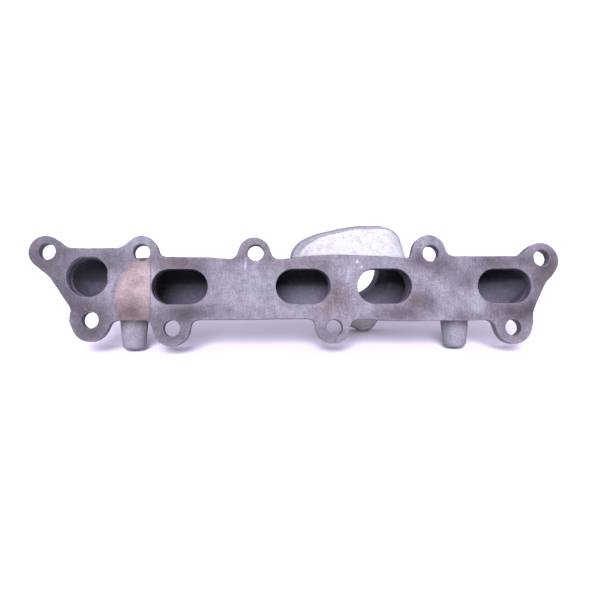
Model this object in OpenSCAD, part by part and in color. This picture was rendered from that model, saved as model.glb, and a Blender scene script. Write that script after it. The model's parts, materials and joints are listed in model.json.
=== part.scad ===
// Exhaust manifold of a four-cylinder engine, in cast iron.
// The origin is on the machined head face, midway between the two middle exhaust ports.
// X runs along the manifold, +Y points away from the cylinder head, and +Z is up.
// The head face leans back from the vertical, and the outlet face stands vertical.
// The part rests on its two tapered support bosses and on the lowest ear of the outlet flange.

/* [Head flange] */
// Angle by which the head face leans back from the vertical, in degrees
lean = 15; // [5:1:25]
// Thickness of the head flange
plate_t = 12; // [8:0.5:16]
// Diameter of the nine stud holes
stud_hole_d = 13.5; // [9:0.5:14]
// Radius of the hollow where a stud ear meets the body of the flange
ear_root_r = 8; // [3:1:10]
// Depth of the unmachined pocket beside the end port
pocket_depth = 2.5; // [1:0.5:5]

/* [Ports] */
// Distance of the inner exhaust ports from the middle
inner_port_x = 33.8; // [32:0.1:38]
// Distance of the outer exhaust ports from the middle
outer_port_x = 135; // [125:1:138]
// Width of an exhaust port
port_w = 45.5; // [36:0.5:48]
// Height of an exhaust port
port_h = 29; // [22:1:31]
// Distance of the recirculation port from the middle
end_port_x = 209.4; // [205:0.1:212]
// Height of the recirculation port's centre above the exhaust ports
end_port_rise = 8.5; // [6:0.5:9]
// Radius of the recirculation port
end_port_r = 17; // [13:1:18]
// Distance from the recirculation port's centre to its flat top and flat inner side
end_port_flat = 16; // [12:1:16]

/* [Gas log] */
// Distance of the gas log's centre line behind the head face
log_depth = 48; // [44:1:54]
// Height of the gas log's centre line above the exhaust ports
log_rise = 3; // [0:1:4]
// Outer radius of the gas log
log_r = 23; // [21:1:24]
// Outer radius of the recirculation runner and link
link_r = 20.5; // [19:0.5:22]
// Thickness of the cast walls
wall = 5; // [3:0.5:6]

/* [Outlet] */
// Position of the outlet face's centre, along the manifold
outlet_x = 18; // [10:1:26]
// Distance of the outlet face's centre from the origin, towards the back
outlet_y = 87; // [82:1:96]
// Angle by which the outlet turns towards the recirculation end, in degrees
outlet_turn = 10; // [0:1:20]
// Thickness of the outlet flange
outlet_t = 13; // [10:1:16]
// Diameter of the outlet bore
outlet_d = 45; // [34:1:46]
// Diameter of the circle that the three tapped holes lie on
outlet_pcd = 90; // [86:1:98]
// Angle of the first tapped hole above the horizontal, in degrees
outlet_first = 42; // [36:1:48]
// Drilled diameter of the three tapped holes
outlet_hole_d = 8.5; // [6:0.5:10]
// Distance by which the neck stays inside the outline of the outlet flange
neck_inset = 1.6; // [0.5:0.1:3]

/* [Support bosses] */
// Distance of the bosses' centre lines behind the head face
boss_depth = 27; // [26:1:30]
// Left boss position along the manifold
boss_left_x = -176; // [-180:1:-172]
// Right boss position along the manifold
boss_right_x = 99; // [92:1:104]
// Radius of a boss at its root
boss_root_r = 12; // [10:0.5:13]
// Radius of a boss at its tip
boss_tip_r = 9.8; // [8:0.2:11]
// Rounding of a boss's tip
boss_round = 4; // [2:0.5:5]

/* [Hidden] */
$fn = 64;
eps = 0.02;
// How far a cutting shape runs past the surface that it cuts
overcut = 1;
// Extra radius of the faceted passage, so that its flats stay clear of the round bore
facet_room = 0.3;
// Turn of the round-ended rods about their own axis
seam_turn = 45;

casting_colour = [0.52, 0.50, 0.53];
machined_colour = [0.60, 0.60, 0.66];
pale_colour = [0.80, 0.78, 0.80];

// Stud holes on the head face: place along the manifold, height above the ports
studs = [
    [-242, 29], [-166, 28.2], [-73, 28], [73, 27.4], [167.3, 23.5],
    [-206.7, -27], [-141.3, -34], [-8.3, -34.4], [141.3, -34.8]
];
// Discs of the ears around the stud holes: place along the manifold, height, radius
ears = [
    [-243.3, 28.2, 13.7], [-166.2, 28.6, 13.2], [-74.2, 27.4, 13.5], [71.5, 28.8, 14.1],
    [166.3, 22, 14.2], [172.6, 20, 9.4], [-206.9, -29.7, 14.9], [-141.8, -33.2, 15.2],
    [-9.6, -33, 14.2], [142, -32.6, 15.7]
];
// Outline of the flange between the ears, clockwise from the upper left corner
body_outline = [
    [-243, 31.9], [-180, 31.9], [-158, 24.6], [-112, 24.2], [-92, 22.4], [-52, 22.6], [-30, 25.2],
    [-8, 26.4], [15, 25.8], [37, 24.6], [56, 23.2], [90, 25], [160, 25.1], [173, 8],
    [159.5, -19], [155, -28.6], [115, -28.6], [58, -29.2], [20, -27.6], [-30, -27], [-221.4, -27],
    [-221.4, -19], [-244, 14]
];
// Outline of the unmachined pocket, which runs out past the lower edge of the flange
pocket_bottom = -34;
pocket_outline = [
    [-159, pocket_bottom], [-159, 22], [-173, 22], [-180, 14], [-185, 4], [-187.5, -7],
    [-186.5, -19], [-183, pocket_bottom]
];

exhaust_port_xs = [-outer_port_x, -inner_port_x, inner_port_x, outer_port_x];
// Ends of the four stretches of the gas log, along the manifold
link_end_x = -164;
left_end_x = -80;
centre_end_x = 80;
// Centre of the gas log's round end, which closes just inside the outer side of the last port
log_end_inset = 2;
log_end_x = outer_port_x + port_w / 2 - (log_r - wall) - log_end_inset;
// Bend radius of the recirculation runner, which turns from its port into line with the gas log
bend_r = log_depth - plate_t;
bend_end_x = bend_r - end_port_x;
// Angles of the tapped holes of the outlet flange
outlet_hole_angles = [outlet_first, outlet_first + 120, outlet_first + 240];
// Discs whose hull is the outline of the outlet flange: place across, height, radius
outlet_discs = [
    [9.6, -45, 13], [-40.4, 11.4, 21], [23.9, 21.2, 21.3], [38.1, 0.7, 14.8], [-24, 1.1, 36.5],
    [0, 0, 42]
];
// Height of the surface that the part rests on, at the lowest disc of the outlet flange
floor_z = outlet_discs[0][1] - outlet_discs[0][2];
// Height of the bosses' tips on the leaning head face, so that they reach the floor
boss_flat_r = boss_tip_r - boss_round;
boss_end = (floor_z + boss_round + (boss_depth + boss_flat_r) * sin(lean)) / cos(lean) - boss_round;
// Heights between which a boss tapers
boss_taper_top = -26;
boss_top = 2;
// Part of the gas log that the outlet neck springs from, along the manifold
neck_from_x = -36;
neck_to_x = 64;
neck_bore_from_x = -6;
neck_bore_to_x = 48;
// Radii of the neck's body and of its passage where they leave the gas log
neck_root_r = log_r - 2;
neck_bore_r = log_r - wall - 1;

// Places a shape drawn on the upright head face at the face's real lean
module on_head() rotate([-lean, 0, 0]) children();

// Extrudes a drawing of the head face from one depth to another behind the face
module behind_face(from, to) translate([0, to, 0]) rotate([90, 0, 0]) linear_extrude(to - from) children();

// Places a drawing of the outlet face: its Z axis points out of the outlet
module on_outlet() translate([outlet_x, outlet_y, 0]) rotate([0, 0, outlet_turn])
    rotate([-90, 0, 0]) mirror([0, 1, 0]) children();

// Outline of an exhaust port, grown by a margin on every side
module port_shape(margin) {
    r = port_h / 2;
    for (side = [-1, 1]) translate([side * (port_w / 2 - r), 0]) circle(r + margin);
    square([port_w - port_h, port_h + 2 * margin], center = true);
}

// Outline of the recirculation port: a circle with a flat top and a flat inner side
module end_port_shape() intersection() {
    circle(end_port_r);
    translate([end_port_flat - 2 * end_port_r, end_port_flat - 2 * end_port_r])
        square(2 * end_port_r);
}

// Outline of the head flange with rounded roots at its ears
module flange_outline() offset(r = -ear_root_r) offset(delta = ear_root_r) {
    polygon(body_outline);
    for (ear = ears) translate([ear[0], ear[1]]) circle(ear[2]);
}

// Straight length of the gas log's outside or inside
module log_length(from, to, radius) translate([from, log_depth, log_rise]) rotate([0, 90, 0])
    cylinder(r = radius, h = to - from);

// Half of the outline of a rod with a round end, for turning about the Y axis
module round_ended_half(radius, length) intersection() {
    union() {
        circle(radius);
        translate([-radius, 0]) square([2 * radius, length]);
    }
    translate([0, -radius]) square([radius, radius + length]);
}

// Rod along +Z whose end at the origin is round
module round_ended(radius, length) rotate_extrude() round_ended_half(radius, length);

// Pipe along +Z whose end at the origin is closed and round
module round_ended_tube(radius, length) rotate_extrude() difference() {
    round_ended_half(radius, length);
    translate([-eps, 0]) round_ended_half(radius - wall + eps, length + overcut);
}

// Outline of the outlet flange, or of the neck inside it: three ears joined by bowed edges
module outlet_outline(inset = 0) hull() for (disc = outlet_discs)
    translate([disc[0], disc[1]]) circle(disc[2] - inset);

// Room taken up by the outlet flange
module outlet_room() on_outlet() translate([0, 0, -outlet_t])
    linear_extrude(outlet_t) outlet_outline();

// Everything from the back of the outlet flange outwards
module beyond_outlet_back() on_outlet() translate([-outlet_pcd, -outlet_pcd, -outlet_t])
    cube([2 * outlet_pcd, 2 * outlet_pcd, 2 * outlet_t]);

// Passage from the gas log to the outlet bore
module neck_passage() hull() {
    on_outlet() translate([0, 0, -outlet_t - overcut])
        cylinder(r = outlet_d / 2 + facet_room, h = 2 * overcut, $fn = 32);
    on_head() translate([neck_bore_from_x, log_depth, log_rise]) rotate([0, 90, 0])
        cylinder(r = neck_bore_r, h = neck_bore_to_x - neck_bore_from_x, $fn = 32);
}

// Passages of the four exhaust ports, from the head face to the gas log's centre line
module port_passages() for (x = exhaust_port_xs)
    translate([x, 0, 0]) behind_face(-overcut, log_depth) port_shape(0);

// Passage of the recirculation port through the head flange
module end_passage() translate([-end_port_x, 0, end_port_rise])
    behind_face(-overcut, plate_t + overcut) end_port_shape();

module head_flange() color(machined_colour) on_head() difference() {
    behind_face(0, plate_t) flange_outline();
    for (stud = studs) translate([stud[0], -overcut, stud[1]]) rotate([-90, 0, 0])
        cylinder(d = stud_hole_d, h = plate_t + 2 * overcut);
    port_passages();
    end_passage();
    behind_face(-overcut, pocket_depth) polygon(pocket_outline);
}

// One exhaust runner, from the back of the head flange to the gas log
module runner(x) color(casting_colour) on_head() difference() {
    translate([x, 0, 0]) behind_face(plate_t, log_depth) port_shape(wall);
    translate([x, 0, 0]) behind_face(plate_t - overcut, log_depth + overcut) port_shape(0);
    log_outside();
}

// Bend of the recirculation runner, around the axis that its drawing turns about
module bend() translate([bend_end_x, plate_t, end_port_rise]) rotate([0, 0, 90])
    rotate_extrude(angle = 90) translate([bend_r, 0]) children();

// Straight length between the bend and the gas log
module link_length() translate([bend_end_x, log_depth, end_port_rise]) rotate([0, 90, 0])
    linear_extrude(link_end_x - bend_end_x) children();

// Section of the recirculation runner and link
module link_section() difference() {
    circle(link_r);
    circle(link_r - wall);
}

// Solid envelope of the whole gas log
module log_outside() translate([log_end_x, log_depth, log_rise]) rotate([0, -90, 0]) rotate(seam_turn)
    round_ended(log_r, log_end_x - link_end_x);

module recirculation_runner() color(casting_colour) on_head() bend() link_section();

module recirculation_link() color(casting_colour) on_head() link_length() link_section();

// One stretch of the gas log, with the port passages cut through its wall
module log_stretch(from, to) difference() {
    log_length(from, to, log_r);
    log_length(from - overcut, to + overcut, log_r - wall);
    port_passages();
}

module log_left() color(casting_colour) on_head() difference() {
    log_length(link_end_x, left_end_x, log_r);
    log_length(link_end_x + wall, left_end_x + overcut, log_r - wall);
    port_passages();
    translate([link_end_x - overcut, log_depth, end_port_rise]) rotate([0, 90, 0])
        cylinder(r = link_r - wall, h = wall + 2 * overcut);
}

module log_centre() color(casting_colour) difference() {
    on_head() log_stretch(left_end_x, centre_end_x);
    neck_passage();
    outlet_room();
}

module log_right() color(casting_colour) on_head() difference() {
    translate([log_end_x, log_depth, log_rise]) rotate([0, -90, 0])
        round_ended_tube(log_r, log_end_x - centre_end_x);
    port_passages();
}

// Junction that gathers the gas from the log and spreads to the outlet flange
module outlet_neck() color(pale_colour) difference() {
    hull() {
        on_outlet() translate([0, 0, -outlet_t - overcut]) linear_extrude(2 * overcut)
            outlet_outline(neck_inset, $fn = 32);
        on_head() translate([neck_from_x, log_depth, log_rise]) rotate([0, 90, 0])
            cylinder(r = neck_root_r, h = neck_to_x - neck_from_x, $fn = 32);
    }
    beyond_outlet_back();
    neck_passage();
    on_head() log_length(neck_from_x - overcut, neck_to_x + overcut, log_r);
    for (x = exhaust_port_xs) on_head() translate([x, 0, 0]) behind_face(plate_t, log_depth)
        port_shape(wall);
}

module outlet_flange() color(casting_colour) on_outlet() translate([0, 0, -outlet_t]) difference() {
    linear_extrude(outlet_t) outlet_outline();
    translate([0, 0, -overcut]) cylinder(d = outlet_d, h = outlet_t + 2 * overcut);
    for (angle = outlet_hole_angles) rotate(angle) translate([outlet_pcd / 2, 0, -overcut])
        cylinder(d = outlet_hole_d, h = outlet_t + 2 * overcut);
}

// Tapered boss with a rounded tip, standing on the floor and rooted in the gas log
module support_boss(x) color(casting_colour) on_head() difference() {
    translate([x, boss_depth, 0]) rotate_extrude() {
        polygon([[0, boss_end], [boss_flat_r, boss_end], [boss_tip_r, boss_end + boss_round],
            [boss_root_r, boss_taper_top], [boss_root_r, boss_top], [0, boss_top]]);
        translate([boss_flat_r, boss_end + boss_round]) circle(boss_round);
    }
    log_outside();
    bend() circle(link_r);
    link_length() circle(link_r);
}

module support_boss_left() support_boss(boss_left_x);

module support_boss_right() support_boss(boss_right_x);

module runner_1() runner(exhaust_port_xs[0]);

module runner_2() runner(exhaust_port_xs[1]);

module runner_3() runner(exhaust_port_xs[2]);

module runner_4() runner(exhaust_port_xs[3]);

head_flange();
recirculation_runner();
runner_1();
runner_2();
runner_3();
runner_4();
recirculation_link();
log_left();
log_centre();
log_right();
outlet_neck();
outlet_flange();
support_boss_left();
support_boss_right();
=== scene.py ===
"""Looks of the exhaust manifold: one iron casting with ground faces, standing on a pale floor.

Every region of the casting is a closed mesh drawn from a distance field: walls, runners and bosses
are simple bodies that melt into each other with the fillets of a casting, and the gas passages,
stud holes and pocket are taken out of them. The field is drawn in the head's own frame, in
millimetres: u runs along the manifold, v is the depth behind the head face and w is the height on it.
"""
import json
import math

import bpy
import numpy as np
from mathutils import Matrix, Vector


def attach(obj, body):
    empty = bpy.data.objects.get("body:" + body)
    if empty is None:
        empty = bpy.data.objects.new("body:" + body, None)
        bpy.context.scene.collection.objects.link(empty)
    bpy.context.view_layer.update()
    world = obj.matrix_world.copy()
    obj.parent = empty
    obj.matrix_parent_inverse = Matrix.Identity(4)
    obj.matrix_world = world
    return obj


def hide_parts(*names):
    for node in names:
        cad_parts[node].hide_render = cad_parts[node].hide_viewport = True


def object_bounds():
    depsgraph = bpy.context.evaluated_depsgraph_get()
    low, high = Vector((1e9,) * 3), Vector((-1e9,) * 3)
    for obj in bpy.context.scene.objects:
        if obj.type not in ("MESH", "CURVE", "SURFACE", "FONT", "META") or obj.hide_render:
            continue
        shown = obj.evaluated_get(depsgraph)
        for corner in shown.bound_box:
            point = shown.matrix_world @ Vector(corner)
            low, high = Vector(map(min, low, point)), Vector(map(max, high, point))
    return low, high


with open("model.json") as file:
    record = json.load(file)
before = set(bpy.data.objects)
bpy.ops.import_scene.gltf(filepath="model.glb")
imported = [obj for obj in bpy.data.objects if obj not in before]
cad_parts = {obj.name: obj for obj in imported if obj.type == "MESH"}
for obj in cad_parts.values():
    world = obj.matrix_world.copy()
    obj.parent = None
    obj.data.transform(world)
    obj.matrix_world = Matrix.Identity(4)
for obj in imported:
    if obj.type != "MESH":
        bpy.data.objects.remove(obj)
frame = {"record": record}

CAD_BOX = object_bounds()
MM = 0.001

# ---------------------------------------------------------------- places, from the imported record
MOUNTS = {m["name"]: m for m in frame["record"]["mounts"]}
OPENINGS = {o["name"]: np.array(o["box_m"]) / MM for o in frame["record"]["physics"]["openings"]}

HEAD_OUT = np.array(MOUNTS["head_face"]["axis"])
LEAN = math.atan2(HEAD_OUT[2], -HEAD_OUT[1])
# Columns: the head frame's u, v and w axes in the row frame
HEAD_AXES = np.array([
    [1, 0, 0],
    [0, math.cos(LEAN), math.sin(LEAN)],
    [0, -math.sin(LEAN), math.cos(LEAN)],
])
STUDS = [HEAD_AXES.T @ (np.array(m["pos_m"]) / MM) for n, m in MOUNTS.items() if n.startswith("stud_hole")]
STUD_R = MOUNTS["stud_hole_top_1"]["dims"]["r_mm"]
PLATE_T = MOUNTS["stud_hole_top_1"]["dims"]["length_mm"]
PORT_XS = [OPENINGS[f"exhaust_port_{i}"][:, 0].mean() for i in (1, 2, 3, 4)]
END_PORT_X = OPENINGS["recirculation_port"][:, 0].mean()
FLOOR_Z = CAD_BOX[0][2] / MM

OUTLET_OUT = np.array(MOUNTS["outlet_face"]["axis"])
OUTLET_TURN = math.atan2(-OUTLET_OUT[0], OUTLET_OUT[1])
OUTLET_AT = np.array(MOUNTS["outlet_stud_holes"]["pos_m"]) / MM
OUTLET_T = MOUNTS["outlet_bore"]["dims"]["length_mm"]
OUTLET_BORE_R = MOUNTS["outlet_bore"]["dims"]["r_mm"]
OUTLET_PCD = MOUNTS["outlet_stud_holes"]["dims"]["pcd_mm"]
OUTLET_TAP_R = MOUNTS["outlet_stud_holes"]["dims"]["hole_r_mm"]
# Columns: the outlet's across, up and out axes in the row frame
OUTLET_AXES = np.array([
    [math.cos(OUTLET_TURN), 0, -math.sin(OUTLET_TURN)],
    [math.sin(OUTLET_TURN), 0, math.cos(OUTLET_TURN)],
    [0, 1, 0],
])

# ---------------------------------------------------------------- sizes, in millimetres
# Discs of the ears around the stud holes, as u, w and radius
EARS = [
    (-243.3, 28.2, 13.5), (-166.2, 28.6, 13.2), (-74.2, 27.4, 13.5), (71.5, 28.8, 14.1),
    (166.3, 22, 14.2), (170.4, 20, 8.2), (-206.9, -29.7, 14.9), (-141.8, -33.2, 15.2),
    (-9.6, -33, 14.2), (142, -32.6, 15.7),
]
PORT_W, PORT_H = 45.5, 29
END_PORT_R, END_PORT_FLAT, END_PORT_RISE = 17, 16, 8.5
WALL = 5
LOG_DEPTH, LOG_RISE, LOG_R = 48, 3, 23
# The last runner turns into the log along an upright round wall
BEND_R = 54
BEND_X = PORT_XS[3] + PORT_W / 2 - BEND_R
LINK_R, LINK_END_X = 20.5, -164
ELBOW_R = LOG_DEPTH - PLATE_T
BEND_END_X = round(END_PORT_X + ELBOW_R)
BOSS_XS, BOSS_DEPTH = (-176, 99), 27
BOSS_ROOT_R, BOSS_TIP_R, BOSS_ROUND, BOSS_TAPER_TOP = 12, 9.8, 4, -26
BOSS_END = ((FLOOR_Z + BOSS_ROUND + (BOSS_DEPTH + BOSS_TIP_R - BOSS_ROUND) * math.sin(LEAN))
            / math.cos(LEAN) - BOSS_ROUND)
OUTLET_TAP_ANGLES = [math.radians(a) for a in (42, 162, 282)]
# Discs whose hull is the outlet flange's outline, as across, up and radius; then the neck's own
OUTLET_DISCS = [(9.6, -45, 13), (-40.4, 11.4, 21), (23.9, 21.2, 21.3), (38.1, 0.7, 14.8), (-24, 1.1, 36.5),
                (0, 0, 42)]
NECK_DISCS = [(9.6, -45, 11.6), (-39, 10.8, 17.6), (23.6, 20.6, 19.8), (38.1, 0.7, 14.5), (-23.5, 0.6, 34.6),
              (0, 0, 40.2)]

# Outline of the head flange between its ears, clockwise from the upper left corner
BODY_OUTLINE = [
    (-243, 31.9), (-180, 31.9), (-158, 24.6), (-112, 24.2), (-92, 22.4), (-52, 22.6), (-30, 25.2),
    (-8, 26.4), (15, 25.8), (37, 24.6), (56, 23.2), (90, 25), (160, 25.1), (173, 8),
    (159.5, -19), (155, -28.6), (115, -28.6), (58, -29.2), (20, -27.6), (-30, -27), (-221.4, -27),
    (-221.4, -19), (-244, 14),
]
# Unmachined pocket beside the end port: its sharp right side, and its sloping left side by height
POCKET_RIGHT, POCKET_TOP, POCKET_DEPTH, POCKET_SLOPE = -159, 24, 2.5, 9
POCKET_LEFT = [(-34, -182), (-28, -184), (-19, -186.5), (-7, -187.5), (4, -185), (14, -180), (20, -175),
               (25, -169)]
# The roof of each runner climbs by this much on its way to the gas log
ROOF_LIFT = 6.5


# Patches of the ground face, as u, w, half width, half height, heat stain and lightness as a power
FACE_PATCHES = [
    (-240, 22, 22, 24, 0.35, -0.9), (-231, 12, 9, 14, -0.4, 0.15), (-224, -6, 14, 14, 0.3, -0.8),
    (-206, -22, 20, 10, 0.4, -0.9), (-206, -38, 16, 9, 0.2, -0.8), (-192, 20, 14, 10, 0.1, -0.6),
    (-186, -2, 8, 12, -0.1, 0.1), (-176, -20, 10, 9, 0.3, -0.7), (-163, 13, 7, 9, 0.2, 0.3),
    (-160, -28, 14, 9, 0.3, -0.6), (-156, 1, 4, 12, -0.1, 0.35), (-142, 22, 24, 7, 0.35, -0.65),
    (-135, 16, 15, 5, 0.7, -0.3), (-119, 13, 8, 9, 0.1, -0.5), (-130, -22, 18, 8, 0.4, -1.05),
    (-140, -40, 16, 8, 0.45, -0.7), (-110, -21, 9, 8, 0.0, -0.2), (-90, 25, 18, 5, 0.35, -0.45),
    (-74, 36, 14, 7, 0.1, -0.2), (-62, 24, 9, 9, 0.25, -0.35), (-76, 0, 20, 16, -0.1, 0.1),
    (-28, 21, 16, 6, 0.4, -0.3), (-48, 16, 9, 5, 0.3, -0.3), (-17, 15, 6, 5, 0.1, -0.35),
    (-36, -20, 14, 5, -0.1, 0.1), (-6, -8, 9, 11, 0.8, -0.75), (4, 8, 7, 9, -0.25, 0.3),
    (-16, -19, 7, 5, 0.8, -0.35), (-14, -38, 12, 8, 0.25, -0.5), (22, -19, 7, 5, -0.1, 0.2), (44, -23, 18, 8, 0.4, -0.65),
    (69, -12, 8, 9, 0.2, -0.6), (58, -12, 7, 9, 1.0, -0.5), (64, 22, 9, 8, 0.5, -0.7), (82, 18, 12, 9, 0.3, -0.75),
    (79, -6, 6, 9, -0.1, 0.25), (102, 4, 10, 8, 0.0, -0.45), (113, -17, 6, 7, -0.35, 0.3),
    (101, -27, 12, 5, 0.1, -0.45), (124, 20, 12, 9, 0.15, -0.8), (148, 22, 16, 8, 0.15, -0.5),
    (124, -8, 6, 10, 0.2, -0.65), (144, -22, 20, 9, 0.45, -1.0), (136, -40, 14, 8, 0.2, -0.4),
    (173, 16, 10, 18, 0.6, -1.0), (163, 2, 7, 16, 0.2, -0.55), (158, -18, 8, 9, 0.3, -0.5),
    (-95, -20, 3.5, 3.5, 0.0, -0.35), (-168, -4, 6, 3.5, -0.3, 0.3), (-81.5, 18, 0.7, 4, 0.0, 0.9),
    (-71, 21, 0.8, 2, 0.0, 0.9), (11, 20, 1.4, 1.2, 0.0, 1.0), (14.5, 16, 1, 1, 0.0, 1.0),
]

# ---------------------------------------------------------------- distance fields
def smooth_union(a, b, k):
    """Union of two fields with a fillet of about k between them."""
    h = np.clip(0.5 + 0.5 * (b - a) / k, 0, 1)
    return b + (a - b) * h - k * h * (1 - h)


def smooth_cut(a, b, k):
    """Field a with body b taken out, the edge broken by about k."""
    return -smooth_union(-a, b, k)


def rounded_meet(a, b, r):
    """Intersection of two half-spaces whose common edge is rounded with radius r."""
    a, b = a + r, b + r
    return np.hypot(np.maximum(a, 0), np.maximum(b, 0)) + np.minimum(np.maximum(a, b), 0) - r


def polygon_field(x, y, points):
    """Signed distance to a polygon."""
    best = np.full(np.broadcast(x, y).shape, 1e9, np.float32)
    inside = np.zeros(best.shape, bool)
    for (ax, ay), (bx, by) in zip(points, points[1:] + points[:1]):
        ex, ey = bx - ax, by - ay
        t = np.clip(((x - ax) * ex + (y - ay) * ey) / (ex * ex + ey * ey), 0, 1)
        best = np.minimum(best, np.hypot(x - ax - t * ex, y - ay - t * ey))
        if ey:
            crosses = ((ay > y) != (by > y)) & (x < ax + ex * (y - ay) / ey)
            inside ^= crosses
    return np.where(inside, -best, best)


def slot_field(x, y, width, height):
    """Signed distance to an oval slot centred on the origin."""
    r = height / 2
    return np.hypot(np.maximum(np.abs(x) - (width / 2 - r), 0), y) - r


def elbow_field(u, v, w, r):
    """Signed distance to the bend of the recirculation passage, from its port into the gas log."""
    bend_u, bend_v = END_PORT_X + ELBOW_R, LOG_DEPTH - ELBOW_R
    du, dv = u - bend_u, v - bend_v
    arc = np.abs(np.hypot(du, dv) - ELBOW_R)
    towards_port = np.maximum(-v, 0) ** 2 + (u - END_PORT_X) ** 2
    towards_log = np.maximum(u - LINK_END_X - 6, 0) ** 2 + (v - LOG_DEPTH) ** 2
    flat = np.where((du < 0) & (dv > 0), arc ** 2, np.minimum(
        np.where(dv <= 0, towards_port, 1e9), np.where(du >= 0, towards_log, 1e9)))
    return np.sqrt(flat + (w - END_PORT_RISE) ** 2) - r


def rod_field(u, v, w, u0, u1, depth, rise, r):
    """Signed distance to a rod along u with round ends."""
    du = np.maximum(np.maximum(u0 - u, u - u1), 0)
    return np.sqrt(du ** 2 + (v - depth) ** 2 + (w - rise) ** 2) - r


def wobble(u, v, w, cell, seed):
    """Smooth random values from -1 to 1 on an open grid, with bumps about a cell apart."""
    weights = []
    for axis in (u, v, w):
        at = (axis.ravel() + 1000) / cell
        low = np.floor(at).astype(int)
        f = at - low
        f = f * f * (3 - 2 * f)
        low -= low.min()
        m = np.zeros((len(at), low.max() + 2), np.float32)
        m[np.arange(len(at)), low] = 1 - f
        m[np.arange(len(at)), low + 1] = f
        weights.append(m)
    random = np.random.default_rng(seed).uniform(-1, 1, [m.shape[1] for m in weights])
    out = np.einsum("ai,ijk->ajk", weights[0], random)
    out = np.einsum("bj,ajk->abk", weights[1], out)
    return np.einsum("ck,abk->abc", weights[2], out).astype(np.float32)


def open_grid(lo, hi, step):
    """Three axes of an open grid whose points are multiples of step."""
    axes = [np.arange(math.floor(a / step), math.ceil(b / step) + 1, dtype=np.float32) * np.float32(step)
            for a, b in zip(lo, hi)]
    return np.ix_(*axes)


# ---------------------------------------------------------------- meshes from fields
def corner_edges():
    """The twelve edges of a unit cell, each as its first corner and its axis."""
    edges = []
    for axis in range(3):
        others = [i for i in range(3) if i != axis]
        for p in (0, 1):
            for q in (0, 1):
                corner = [0, 0, 0]
                corner[others[0]], corner[others[1]] = p, q
                edges.append((tuple(corner), axis))
    return edges


def net(field, grid, region):
    """Vertices and quads of the body inside the field, cut off flat where the region ends.

    A vertex sits at the mean of its cell's crossings. Where the region ends, the crossings on the
    cut plane win, so that two neighbouring regions share their edge exactly.
    """
    step = float(grid[0].ravel()[1] - grid[0].ravel()[0])
    field = np.pad(field, 1, constant_values=1e6)
    region = np.pad(region, 1, constant_values=False)
    solid = (field < 0) & region
    n = [s - 1 for s in solid.shape]
    corners = [solid[i:i + n[0], j:j + n[1], k:k + n[2]] for i in (0, 1) for j in (0, 1) for k in (0, 1)]
    some, every = corners[0].copy(), corners[0].copy()
    for c in corners[1:]:
        some |= c
        every &= c
    cells = np.argwhere(some & ~every)
    true_sum, true_n = np.zeros((len(cells), 3)), np.zeros(len(cells))
    cut_sum, cut_n = np.zeros((len(cells), 3)), np.zeros(len(cells))
    for corner, axis in corner_edges():
        a = cells + corner
        b = a.copy()
        b[:, axis] += 1
        ia, ib = tuple(a.T), tuple(b.T)
        crossing = solid[ia] != solid[ib]
        real = crossing & region[ia] & region[ib]
        fa, fb = field[ia], field[ib]
        t = np.where(real, fa / np.where(real, fa - fb, 1), np.where(solid[ia], 0, 1))
        point = a.astype(float)
        point[:, axis] += t
        true_sum += np.where(real, 1, 0)[:, None] * point
        true_n += real
        cut = crossing & ~real
        cut_sum += np.where(cut, 1, 0)[:, None] * point
        cut_n += cut
    use_true = true_n > 0
    total = np.where(use_true[:, None], true_sum, cut_sum)
    count = np.where(use_true, true_n, cut_n)
    low = np.array([g.ravel()[0] for g in grid]) - step
    points = low + step * total / count[:, None]
    index = np.full(n, -1, np.int64)
    index[tuple(cells.T)] = np.arange(len(cells))
    quads = []
    for axis in range(3):
        one = [slice(1, -1)] * 3
        two = [slice(1, -1)] * 3
        one[axis] = slice(0, -1)
        two[axis] = slice(1, None)
        first, second = solid[tuple(one)], solid[tuple(two)]
        at = np.argwhere(first != second)
        leaving = first[tuple(at.T)]
        at = at + 1
        at[:, axis] -= 1
        p, q = [i for i in range(3) if i != axis]
        ring = []
        for dp, dq in ((-1, -1), (0, -1), (0, 0), (-1, 0)):
            cell = at.copy()
            cell[:, p] += dp
            cell[:, q] += dq
            ring.append(index[tuple(cell.T)])
        ring = np.stack(ring, 1)
        flip = leaving if axis != 1 else ~leaving
        quads.append(np.where(flip[:, None], ring, ring[:, ::-1]))
    return points, np.concatenate(quads)


def face_tones(u, w):
    """Heat stain and lightness of the ground face, from -1 to 1."""
    rust, light = np.zeros(len(u)), np.zeros(len(u))
    for pu, pw, ru, rw, stain, tone in FACE_PATCHES:
        reach = np.exp(-((u - pu) / ru) ** 2 - ((w - pw) / rw) ** 2)
        rust += stain * reach
        light += tone * reach
    return rust, light


def soot_and_shade_depth(u, v, w):
    """How black a passage is drawn: soot with painted shade, blackest in its upper half, its lower half by an
    amount that changes along the manifold, and lighter only at the port's mouth.
    """
    end_port = u < LINK_END_X
    lower = np.interp(u, [-110, -60, 20, 50, 110], [0.75, 0.3, 0.3, 0.8, 0.6])
    entry = np.where(end_port, step_up((v - 8) / 5), step_up((v + 1) / 4))
    return entry * np.maximum(step_up((w - 1) / 9), lower) * np.where(end_port, 0.85, 1)


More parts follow.
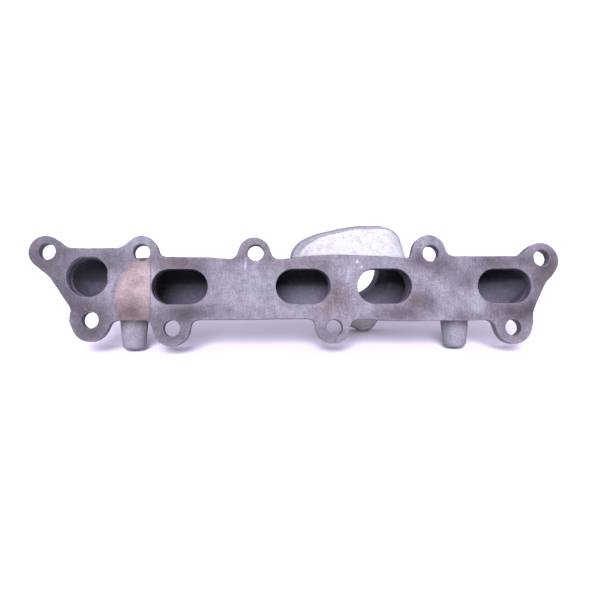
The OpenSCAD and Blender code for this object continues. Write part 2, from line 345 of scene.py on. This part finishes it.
def make_piece(name, points, quads, axes, origin, node, sharp=40):
    """A mesh object from points in a local frame, in millimetres. It stands for a CAD node."""
    world = (points @ axes.T + origin) * MM
    u, v, w = (world / MM @ HEAD_AXES).T
    floor = step_up((pocket_depth(u, w) - 0.5) / 1.6)
    rust, light = face_tones(u, w)
    rim = np.maximum(step_up(1 + head_outline(u, w) / 1.6), 0.7 * step_up(1 - port_distance(u, w) / 1.2))
    edge = rim * (v < 1)
    across, up, out = to_outlet(u, v, w)
    outlet = node == "outlet_flange"
    face = step_up((0.4 - (-out if outlet else v)) / 0.3)
    in_bore = outlet & (np.hypot(across, up) < OUTLET_BORE_R + 2)
    near_neck = step_up((5 - neck_field(across, up, out)) / 5) * (v > PLATE_T)
    marks = {
        "inside": step_up((1.6 - gas_field(u, v, w)) / 1.2) * (v > 0.4),
        "ground": face * (1 - floor),
        "pocket": floor * (v < POCKET_DEPTH + 0.4),
        # The pale mark is painted light: the lit neck is drawn near white, the outlet flange a little paler
        "painted_light": np.where(outlet, 0.35, near_neck),
        # The soot mark is soot with painted shade: darker away from the port mouths and in the passages' upper
        # halves
        "rust": rust, "light": light, "edge": edge, "soot_and_shade": np.where(in_bore, 0.2, soot_and_shade_depth(u, v, w)),
    }
    mesh = bpy.data.meshes.new(name)
    mesh.vertices.add(len(world))
    mesh.vertices.foreach_set("co", world.ravel())
    mesh.loops.add(quads.size)
    mesh.loops.foreach_set("vertex_index", quads.ravel().astype(np.int32))
    mesh.polygons.add(len(quads))
    mesh.polygons.foreach_set("loop_start", np.arange(0, quads.size, 4, dtype=np.int32))
    mesh.update(calc_edges=True)
    mesh.validate()
    mesh.polygons.foreach_set("use_smooth", [True] * len(mesh.polygons))
    mesh.set_sharp_from_angle(angle=math.radians(sharp))
    for mark, values in marks.items():
        mesh.attributes.new(mark, "FLOAT", "POINT").data.foreach_set("value", values.astype(np.float32))
    piece = bpy.data.objects.new(name, mesh)
    bpy.context.scene.collection.objects.link(piece)
    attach(piece, "root")
    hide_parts(node)
    return piece


# ---------------------------------------------------------------- the casting's bodies
def head_outline(u, w):
    """Signed distance to the head flange's outline, with filleted ear roots."""
    d = polygon_field(u, w, BODY_OUTLINE)
    for eu, ew, r in EARS:
        d = smooth_union(d, np.hypot(u - eu, w - ew) - r, 9)
    return d


def step_up(x):
    """Soft step from 0 to 1 while x goes from 0 to 1."""
    x = np.clip(x, 0, 1)
    return x * x * (3 - 2 * x)


def pocket_depth(u, w):
    """Depth of the unmachined pocket under the ground face."""
    heights, sides = zip(*POCKET_LEFT)
    left = np.interp(w, heights, sides)
    slope = step_up((u - left) / POCKET_SLOPE + 0.5)
    wall = step_up((POCKET_RIGHT - u) / 0.6 + 0.5)
    top = step_up((POCKET_TOP + 2 - w) / 4)
    return POCKET_DEPTH * slope * wall * top


def end_port_field(u, w):
    """Signed distance to the recirculation port, a circle with a flat top and a flat inner side."""
    x, y = u - END_PORT_X, w - END_PORT_RISE
    return np.maximum(np.hypot(x, y) - END_PORT_R, rounded_meet(x - END_PORT_FLAT, y - END_PORT_FLAT, 2))


def port_distance(u, w):
    """Distance on the head face to the nearest port."""
    return np.minimum.reduce([end_port_field(u, w)] + [slot_field(u - x, w, PORT_W, PORT_H) for x in PORT_XS])


def boss_field(u, v, w, x):
    """Signed distance to a tapered support boss."""
    rho = np.hypot(u - x, v - BOSS_DEPTH)
    slope = (BOSS_ROOT_R - BOSS_TIP_R) / (BOSS_TAPER_TOP - (BOSS_END + BOSS_ROUND))
    r = np.minimum(BOSS_TIP_R + slope * (w - BOSS_END - BOSS_ROUND), BOSS_ROOT_R)
    side = np.maximum(rho - r, w - 4)
    return rounded_meet(side, BOSS_END - w, BOSS_ROUND)


def hull_field(a, b, discs):
    """Signed distance to the hull of discs, from its tangents in many directions."""
    d = np.full(np.broadcast(a, b).shape, -1e9, np.float32)
    for t in np.arange(0, 2 * math.pi, math.pi / 48):
        reach = max(x * math.cos(t) + y * math.sin(t) + r for x, y, r in discs)
        d = np.maximum(d, a * math.cos(t) + b * math.sin(t) - reach)
    return d


def to_outlet(u, v, w):
    """Outlet coordinates (across, up, out) of points given in the head frame."""
    turn = OUTLET_AXES.T @ HEAD_AXES
    shift = -OUTLET_AXES.T @ OUTLET_AT
    return [turn[i, 0] * u + turn[i, 1] * v + turn[i, 2] * w + shift[i] for i in range(3)]


def from_outlet(a, b, c):
    """Head frame coordinates (u, v, w) of points given as across, up and out of the outlet."""
    turn = HEAD_AXES.T @ OUTLET_AXES
    shift = HEAD_AXES.T @ OUTLET_AT
    return [turn[i, 0] * a + turn[i, 1] * b + turn[i, 2] * c + shift[i] for i in range(3)]


NECK_FROM, NECK_CENTRE, NECK_HALF, NECK_SINK = -46, (-4, -9), (50, 21), 12


def neck_field(a, b, c):
    """The outlet neck: an oblong section at the log that grows into the outlet flange's outline."""
    s = np.clip((c - NECK_FROM) / (-OUTLET_T - NECK_FROM), 0, 1)
    x = np.maximum(np.abs(a - NECK_CENTRE[0]) - (NECK_HALF[0] - NECK_SINK), 0)
    y = np.maximum(np.abs(b - NECK_CENTRE[1]) - (NECK_HALF[1] - NECK_SINK), 0)
    section = np.hypot(x, y) - NECK_SINK
    d = (1 - s) * section + s * hull_field(a, b, NECK_DISCS)
    return np.maximum(d, NECK_FROM - c)


def neck_passage(a, b, c):
    """The gas passage inside the neck, from the log to the round bore."""
    s = np.clip((c - NECK_FROM) / (-OUTLET_T - NECK_FROM), 0, 1)
    x = np.maximum(np.abs(a - 2) - 16, 0)
    section = np.hypot(x, b - NECK_CENTRE[1]) - (LOG_R - WALL - 1)
    d = (1 - s) * section + s * (np.hypot(a, b) - OUTLET_BORE_R)
    return np.maximum(d, NECK_FROM - c)


def end_bend(u, v, r):
    """Signed distance to the upright round wall that turns the last runner into the log."""
    return np.maximum(np.hypot(np.maximum(u - BEND_X, 0), np.maximum(v - PLATE_T, 0)) - r, u - BEND_X - r)


def runner_field(u, v, w, x, wall):
    """Signed distance to a runner's passage, or to its outside, with a roof that climbs inwards."""
    lift = ROOF_LIFT * np.clip(v / LOG_DEPTH, 0, 1)
    height = PORT_H + lift
    return np.maximum(slot_field(u - x, w - lift / 2, PORT_W + 2 * wall, height + 2 * wall), v - LOG_DEPTH)


def log_passage(u, v, w):
    """Signed distance to the gas log's own passage."""
    return rod_field(u, v, w, LINK_END_X, BEND_X + BEND_R, LOG_DEPTH, LOG_RISE, LOG_R - WALL)


def gas_field(u, v, w):
    """Every gas passage behind the head face."""
    gas = log_passage(u, v, w)
    for x in PORT_XS:
        gas = smooth_union(gas, runner_field(u, v, w, x, 0), 4)
    gas = np.maximum(gas, end_bend(u, v, BEND_R))
    gas = smooth_union(gas, elbow_field(u, v, w, LINK_R - WALL), 4)
    gas = smooth_union(gas, np.maximum(end_port_field(u, w), v - PLATE_T - 1), 1)
    a, b, c = to_outlet(u, v, w)
    return smooth_union(gas, neck_passage(a, b, c), 5)


def casting_field(u, v, w):
    """Everything of the casting behind the head flange, up to the outlet flange."""
    outline = head_outline(u, w)
    plate = np.maximum(outline + 1.5, v - PLATE_T)
    skin = rod_field(u, v, w, LINK_END_X - 4, BEND_X + BEND_R + WALL, LOG_DEPTH, LOG_RISE, LOG_R)
    for x in PORT_XS:
        skin = smooth_union(skin, runner_field(u, v, w, x, WALL), 9)
    skin = -smooth_union(-skin, -end_bend(u, v, BEND_R + WALL), 4)
    skin = smooth_union(skin, elbow_field(u, v, w, LINK_R), 8)
    for x in BOSS_XS:
        skin = smooth_union(skin, boss_field(u, v, w, x), 5)
    skin = smooth_union(skin, plate, 7)
    a, b, c = to_outlet(u, v, w)
    neck = np.maximum(neck_field(a, b, c), c + OUTLET_T - 1)
    skin = smooth_union(skin, neck, 8)
    flange_room = np.maximum(hull_field(a, b, OUTLET_DISCS) + 0.8, -c - OUTLET_T + 1)
    skin = np.maximum(skin, -flange_room)
    for su, _, sw in STUDS:
        seat = np.maximum(np.hypot(u - su, w - sw) - STUD_R - 3.5, v - PLATE_T - 12)
        skin = smooth_cut(skin, seat, 1)
    skin = skin + 0.25 * wobble(u, v, w, 9, 1) + 0.12 * wobble(u, v, w, 3.1, 2)
    gas = gas_field(u, v, w)
    joint = 0.5 * np.exp(-((w - LOG_RISE) / 0.8) ** 2)
    gas = gas + 0.15 * wobble(u, v, w, 4.3, 3) + np.where(v > 40, joint, 0)
    return smooth_cut(skin, gas, 0.5)


def make_casting():
    """The regions of the casting behind the head flange, cut apart at flat planes."""
    step = 1.0
    grid = open_grid((-236, PLATE_T, -62), (168, 104, 66), step)
    u, v, w = grid
    field = casting_field(u, v, w)
    near = v <= 30
    left_boss = (u >= -190) & (u <= -164) & (w <= -13) & (v <= 46)
    right_boss = (u >= 84) & (u <= 114) & (w <= -21) & (v <= 46)
    neck = (u >= -50) & (u <= 78) & (v >= 52)
    regions = {
        "recirculation_runner": (u <= BEND_END_X) & (v > 0),
        "recirculation_link": (u >= BEND_END_X) & (u <= LINK_END_X) & (v > 0),
        "support_boss_left": left_boss,
        "runner_1": (u >= LINK_END_X) & (u <= -80) & near,
        "log_left": (u >= LINK_END_X) & (u <= -80) & (v >= 30),
        "runner_2": (u >= -80) & (u <= 0) & near,
        "runner_3": (u >= 0) & (u <= 80) & near,
        "log_centre": (u >= -80) & (u <= 80) & (v >= 30) & ((v <= 52) | (u <= -50) | (u >= 78)),
        "outlet_neck": neck,
        "runner_4": (u >= 80) & near,
        "log_right": (u >= 80) & (v >= 30),
        "support_boss_right": right_boss,
    }
    not_left = ~left_boss | (w >= -13)
    not_right = ~right_boss | (w >= -21)
    made = {}
    for name, region in regions.items():
        region = np.broadcast_to(region, field.shape)
        if not name.startswith("support_boss"):
            region = region & not_left & not_right
        box = [np.flatnonzero(region.any(axis=tuple(j for j in range(3) if j != i))) for i in range(3)]
        window = tuple(slice(b[0], b[-1] + 1) for b in box)
        part_grid = np.ix_(*[g.ravel()[s] for g, s in zip(grid, window)])
        points, quads = net(field[window], part_grid, region[window])
        made[name] = make_piece(name + "_casting", points, quads, HEAD_AXES, np.zeros(3), name)
    return made


def make_head_flange():
    """The machined head flange with its ports, stud holes and unmachined pocket."""
    step = 0.75
    grid = open_grid((-262, -2, -56), (190, PLATE_T + 2, 50), step)
    u, v, w = grid
    outline = head_outline(u, w) + 0.35 * wobble(u, v, w, 22, 5) + 0.15 * wobble(u, v, w, 5, 6)
    d = rounded_meet(outline, v - PLATE_T, 1.5)
    d = np.maximum(d, rounded_meet(outline, -v, 0.6))
    for x in PORT_XS:
        d = smooth_cut(d, slot_field(u - x, w, PORT_W, PORT_H), 0.3)
    d = smooth_cut(d, end_port_field(u, w), 0.3)
    for su, _, sw in STUDS:
        d = smooth_cut(d, np.hypot(u - su, w - sw) - STUD_R, 0.3)
    depth = pocket_depth(u, w)
    d = np.maximum(d, depth - v)
    points, quads = net(d, grid, np.ones(d.shape, bool))
    return make_piece("head_flange_casting", points, quads, HEAD_AXES, np.zeros(3), "head_flange")


def make_outlet_flange():
    """The outlet flange with its ground face, bore and three tapped holes."""
    step = 0.75
    reach = OUTLET_PCD / 2 + 18
    grid = open_grid((-reach, -reach, -OUTLET_T - 2), (reach, reach, 2), step)
    a, b, c = grid
    outline = hull_field(a, b, OUTLET_DISCS) + 0.25 * wobble(a, b, c, 12, 7) + 0.3
    d = np.maximum(rounded_meet(outline, c, 0.6), rounded_meet(outline, -c - OUTLET_T, 1))
    d = smooth_cut(d, np.hypot(a, b) - OUTLET_BORE_R, 0.8)
    d = smooth_cut(d, log_passage(*from_outlet(a, b, c)) - 0.1, 0.5)
    for t in OUTLET_TAP_ANGLES:
        hole = np.hypot(a - OUTLET_PCD / 2 * math.cos(t), b - OUTLET_PCD / 2 * math.sin(t)) - OUTLET_TAP_R
        d = smooth_cut(d, hole, 0.8)
    points, quads = net(d, grid, np.ones(d.shape, bool))
    return make_piece("outlet_flange_casting", points, quads, OUTLET_AXES, OUTLET_AT, "outlet_flange")


# ---------------------------------------------------------------- materials
def put(tree, kind, feeds, out=0, **settings):
    """A shader node with its inputs linked or set. Returns one of its outputs."""
    made = tree.nodes.new(kind)
    for key, value in settings.items():
        setattr(made, key, value)
    for key, value in feeds.items():
        if isinstance(value, bpy.types.NodeSocket):
            tree.links.new(value, made.inputs[key])
        else:
            made.inputs[key].default_value = value
    return made.outputs[out]


def math_node(tree, operation, a, b=0.0):
    return put(tree, "ShaderNodeMath", {0: a, 1: b}, operation=operation)


def mixed(tree, amount, a, b, blend="MIX"):
    """Colour a turned into colour b by an amount."""
    return put(tree, "ShaderNodeMix", {0: amount, 6: a, 7: b}, out=2, data_type="RGBA",
               blend_type=blend, clamp_factor=True)


def noise(tree, place, scale, detail=4.0, rough=0.6):
    return put(tree, "ShaderNodeTexNoise", {"Vector": place, "Scale": scale, "Detail": detail,
                                            "Roughness": rough})


def spread(tree, value, low, high, to_low=0.0, to_high=1.0):
    """Value stretched so that low and high become to_low and to_high, held between them."""
    return put(tree, "ShaderNodeMapRange", {0: value, 1: low, 2: high, 3: to_low, 4: to_high})


def mark(tree, name):
    return put(tree, "ShaderNodeAttribute", {}, out=2, attribute_name=name)


def grey(tone, tint=(1.0, 1.0, 1.0)):
    return (tone * tint[0], tone * tint[1], tone * tint[2], 1.0)


def varied(tree, tone, *swings):
    """Tone multiplied by 1 + strength * (pattern - 0.5) for each pattern and strength."""
    for pattern, strength in swings:
        factor = put(tree, "ShaderNodeMath", {0: pattern, 1: strength, 2: 1 - strength / 2},
                     operation="MULTIPLY_ADD")
        tone = math_node(tree, "MULTIPLY", tone, factor)
    return tone


def coloured(tree, tone, colour):
    """A colour scaled by a tone."""
    scaled = put(tree, "ShaderNodeCombineColor", {0: tone, 1: tone, 2: tone})
    return mixed(tree, 1.0, scaled, colour, "MULTIPLY")


def iron_material(name, skin_tone):
    """Cast iron: ground where the head face is, sooty inside with painted shade, and rough skin everywhere else,
    painted paler where the neck is lit.
    """
    material = bpy.data.materials.new(name)
    material.use_nodes = True
    tree = material.node_tree
    shader = tree.nodes["Principled BSDF"]
    object_place = put(tree, "ShaderNodeTexCoord", {}, out=3)
    place = put(tree, "ShaderNodeMapping", {"Vector": object_place, "Rotation": (LEAN, 0, 0),
                                            "Scale": (1 / MM, 1 / MM, 1 / MM)})
    strokes = put(tree, "ShaderNodeMapping", {"Vector": place, "Scale": (1.0, 1.0, 0.08)})

    clouds = noise(tree, place, 0.05, 4, 0.6)
    blotches = noise(tree, place, 0.17, 5, 0.7)
    grains = noise(tree, place, 0.7, 3, 0.7)
    streaks = noise(tree, strokes, 0.8, 3, 0.6)
    pits = spread(tree, noise(tree, place, 0.65, 2, 0.5), 0.36, 0.28)

    # Ground face: the light mark is a power of TONE_BASE, the rust mark turns blue-grey to brown
    tone = math_node(tree, "MULTIPLY", math_node(tree, "POWER", TONE_BASE, mark(tree, "light")), FACE_TONE)
    tone = varied(tree, tone, (clouds, 0.9), (blotches, 1.3), (grains, 1.5), (streaks, 0.6))
    tone = math_node(tree, "MULTIPLY", tone, spread(tree, mark(tree, "edge"), 0, 1, 1, 1.25))
    stain = varied(tree, mark(tree, "rust"), (blotches, 2.2))
    tint = mixed(tree, spread(tree, stain, -1, 1), BLUISH, BROWNISH)
    ground = coloured(tree, tone, tint)
    specks = spread(tree, noise(tree, place, 0.45, 2, 0.5), 0.66, 0.74)
    ground = mixed(tree, math_node(tree, "MULTIPLY", specks, 0.35), ground, grey(2 * FACE_TONE))
    ground = mixed(tree, math_node(tree, "MULTIPLY", pits, 0.3), ground, grey(0.3 * FACE_TONE))

    # Rough skin, with painted light: near white on the lit neck and paler on the outlet flange, with a warmer tint
    # where it is painted lightest
    painted_light = spread(tree, mark(tree, "painted_light"), 0, 1, skin_tone, PAINTED_LIGHT_TONE)
    skin_value = varied(tree, painted_light, (blotches, 0.9), (grains, 1.0))
    painted_light_tint = mixed(tree, mark(tree, "painted_light"), (1.0, 1.0, 1.0, 1), (0.96, 1.0, 0.89, 1))
    skin = coloured(tree, skin_value, painted_light_tint)
    skin = mixed(tree, math_node(tree, "MULTIPLY", pits, 0.6), skin, grey(0.35 * skin_tone))

    # Rusty floor of the pocket
    pocket_tone = math_node(tree, "MULTIPLY", math_node(tree, "POWER", TONE_BASE, mark(tree, "light")), POCKET_TONE)
    pocket_tone = varied(tree, pocket_tone, (clouds, 0.6), (blotches, 1.0), (grains, 1.0))
    pocket = coloured(tree, pocket_tone, (1.2, 1.0, 0.88, 1))
    pocket = mixed(tree, math_node(tree, "MULTIPLY", pits, 0.6), pocket, (0.05, 0.035, 0.03, 1))

    # Soot, with painted shade: darker away from the port mouths and in the passages' upper halves
    soot_and_shade_tone = spread(tree, mark(tree, "soot_and_shade"), 0, 1, SOOT_TONE, 0.25 * SOOT_TONE)
    soot_and_shade = coloured(tree, varied(tree, soot_and_shade_tone, (blotches, 0.8), (grains, 1.0)), (1.0, 1.0, 1.1, 1))

    colour = mixed(tree, mark(tree, "ground"), skin, ground)
    colour = mixed(tree, mark(tree, "pocket"), colour, pocket)
    colour = mixed(tree, mark(tree, "inside"), colour, soot_and_shade)
    tree.links.new(colour, shader.inputs["Base Color"])
    tree.links.new(spread(tree, blotches, 0.3, 0.7, 0.5, 0.75), shader.inputs["Roughness"])
    shader.inputs["Specular IOR Level"].default_value = 0.08

    height = math_node(tree, "ADD", blotches, math_node(tree, "MULTIPLY", grains, 0.7))
    depth = spread(tree, mark(tree, "ground"), 0, 1, 0.4, 0.06)
    bumps = put(tree, "ShaderNodeBump", {"Strength": depth, "Distance": 0.0006, "Height": height})
    tree.links.new(bumps, shader.inputs["Normal"])
    return material


def plain_material(name, colour, glow=0.0):
    material = bpy.data.materials.new(name)
    material.use_nodes = True
    shader = material.node_tree.nodes["Principled BSDF"]
    shader.inputs["Base Color"].default_value = (*colour, 1)
    shader.inputs["Roughness"].default_value = 0.8
    shader.inputs["Emission Color"].default_value = (1, 1, 1, 1)
    shader.inputs["Emission Strength"].default_value = glow
    return material


# The pale tone is painted light on the lit neck
FACE_TONE, POCKET_TONE, PAINTED_LIGHT_TONE, SOOT_TONE = 0.139, 0.165, 0.43, 0.19
TONE_BASE = 2.8
BLUISH, BROWNISH = (0.80, 1.0, 1.06, 1), (1.22, 1.0, 0.97, 1)
MACHINED_IRON = iron_material("machined_iron", 0.13)
CASTING_SKIN = iron_material("casting_skin", 0.17)
# A copy of the casting skin with painted light, for the lit neck
LIT_CASTING = iron_material("pale_casting", 0.25)
SLOTS = {"head_flange": ("machined_iron", MACHINED_IRON), "outlet_flange": ("machined_iron", MACHINED_IRON),
         "outlet_neck": ("pale_casting", LIT_CASTING)}

pieces = make_casting()
pieces["head_flange"] = make_head_flange()
pieces["outlet_flange"] = make_outlet_flange()
for name, piece in pieces.items():
    slot, material = SLOTS.get(name, ("casting_skin", CASTING_SKIN))
    piece.data.materials.append(material)

# ---------------------------------------------------------------- floor, light and camera
LIGHT_TINT = (1.0, 0.905, 1.215)
scene = bpy.context.scene

reach = 6
floor_mesh = bpy.data.meshes.new("floor")
floor_mesh.from_pydata([(-reach, -reach, 0), (reach, -reach, 0), (reach, reach, 0), (-reach, reach, 0)],
                       [], [(0, 1, 2, 3)])
floor_mesh.materials.append(plain_material("white_floor", (0.92, 0.92, 0.92)))
floor = bpy.data.objects.new("floor", floor_mesh)
floor.location = (0, 0, FLOOR_Z * MM)
scene.collection.objects.link(floor)

world = bpy.data.worlds.new("studio")
world.use_nodes = True
sky = world.node_tree
seen = sky.nodes["Background"]
seen.inputs["Color"].default_value = (1, 1, 1, 1)
seen.inputs["Strength"].default_value = 1.1
lit = sky.nodes.new("ShaderNodeBackground")
lit.inputs["Color"].default_value = (*LIGHT_TINT, 1)
lit.inputs["Strength"].default_value = 0.66
choice = put(sky, "ShaderNodeMixShader", {0: put(sky, "ShaderNodeLightPath", {}), 1: lit.outputs[0],
                                          2: seen.outputs[0]})
sky.links.new(choice, sky.nodes["World Output"].inputs["Surface"])
scene.world = world


def far_softbox(name, place, spread_angle, power):
    """A distant round softbox in the direction of a place."""
    lamp = bpy.data.lights.new(name, "SUN")
    lamp.angle, lamp.energy, lamp.color = math.radians(spread_angle), power, LIGHT_TINT
    light = bpy.data.objects.new(name, lamp)
    light.rotation_euler = Vector(place).to_track_quat("Z", "Y").to_euler()
    scene.collection.objects.link(light)


far_softbox("front_softbox", (-0.1, -0.8, 0.44), 26, 6.0)

lens = bpy.data.cameras.new("camera")
camera = bpy.data.objects.new("camera", lens)
camera.location = (-0.0686, -0.5338, 0.0945)
camera.rotation_euler = [math.radians(angle) for angle in (79.254, -0.356, -2.876)]
lens.sensor_width, lens.lens, lens.clip_start = 36, 40.34, 0.01
scene.collection.objects.link(camera)
scene.camera = camera
scene.view_settings.view_transform = "Standard"
